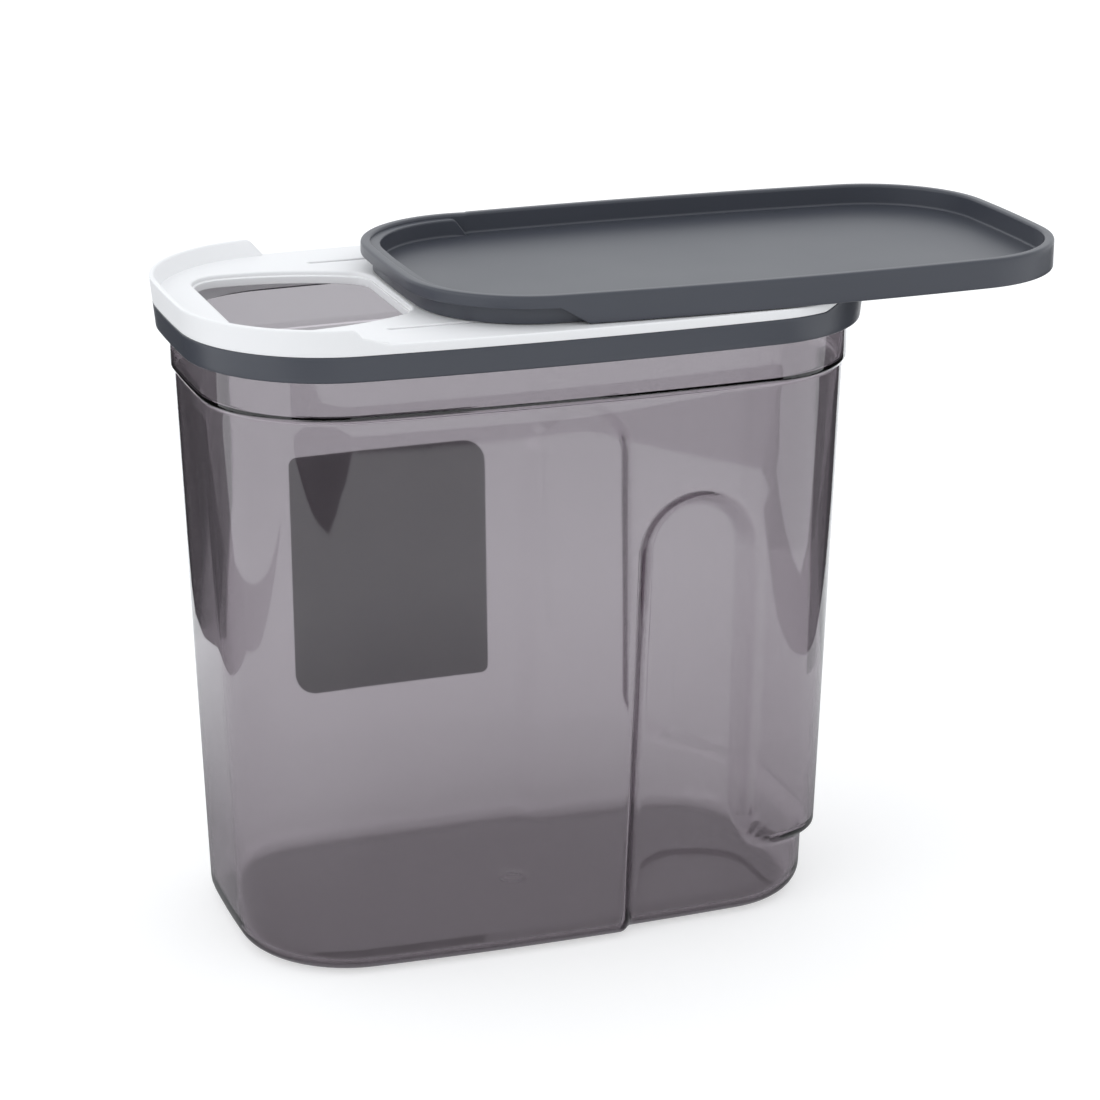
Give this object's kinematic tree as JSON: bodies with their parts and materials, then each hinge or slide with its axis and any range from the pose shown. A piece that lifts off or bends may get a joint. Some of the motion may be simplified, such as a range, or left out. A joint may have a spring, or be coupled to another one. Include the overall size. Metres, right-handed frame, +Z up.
{
  "type": "storage box",
  "caption": "Tapered see-through storage box with a grip recess, a collar ring, a white pour deck with a raised fence and a tray-shaped sliding lid.",
  "frame": {"origin": "middle of the flat underside of the bin", "axes": "+X along the long side, the way the slide lid opens; +Y to the labelled back wall; +Z up"},
  "size_m": [0.3152, 0.1414, 0.238],
  "materials": {
    "smoky_clear": "clear gloss, smoky grey",
    "label_film": "satin film",
    "slate_plastic": "satin",
    "white_plastic": "satin",
    "gasket_rubber": "matt"
  },
  "bodies": {
    "container": {"container_body": "smoky_clear", "product_label": "label_film"},
    "pour_lid": {"lid_collar": "slate_plastic", "pour_deck": "white_plastic", "rim_gasket": "gasket_rubber"},
    "slide_lid": {"slide_lid": "slate_plastic", "lid_retainer_front": "white_plastic", "lid_retainer_back": "white_plastic"}
  },
  "joints": [
    {"name": "lid_lift", "type": "slide", "parent": "container", "child": "pour_lid", "axis": [0, 0, 1], "range_m": [0, 0.06]},
    {"name": "lid_slide", "type": "slide", "parent": "pour_lid", "child": "slide_lid", "axis": [1, 0, 0], "range_m": [-0.074, 0]}
  ]
}
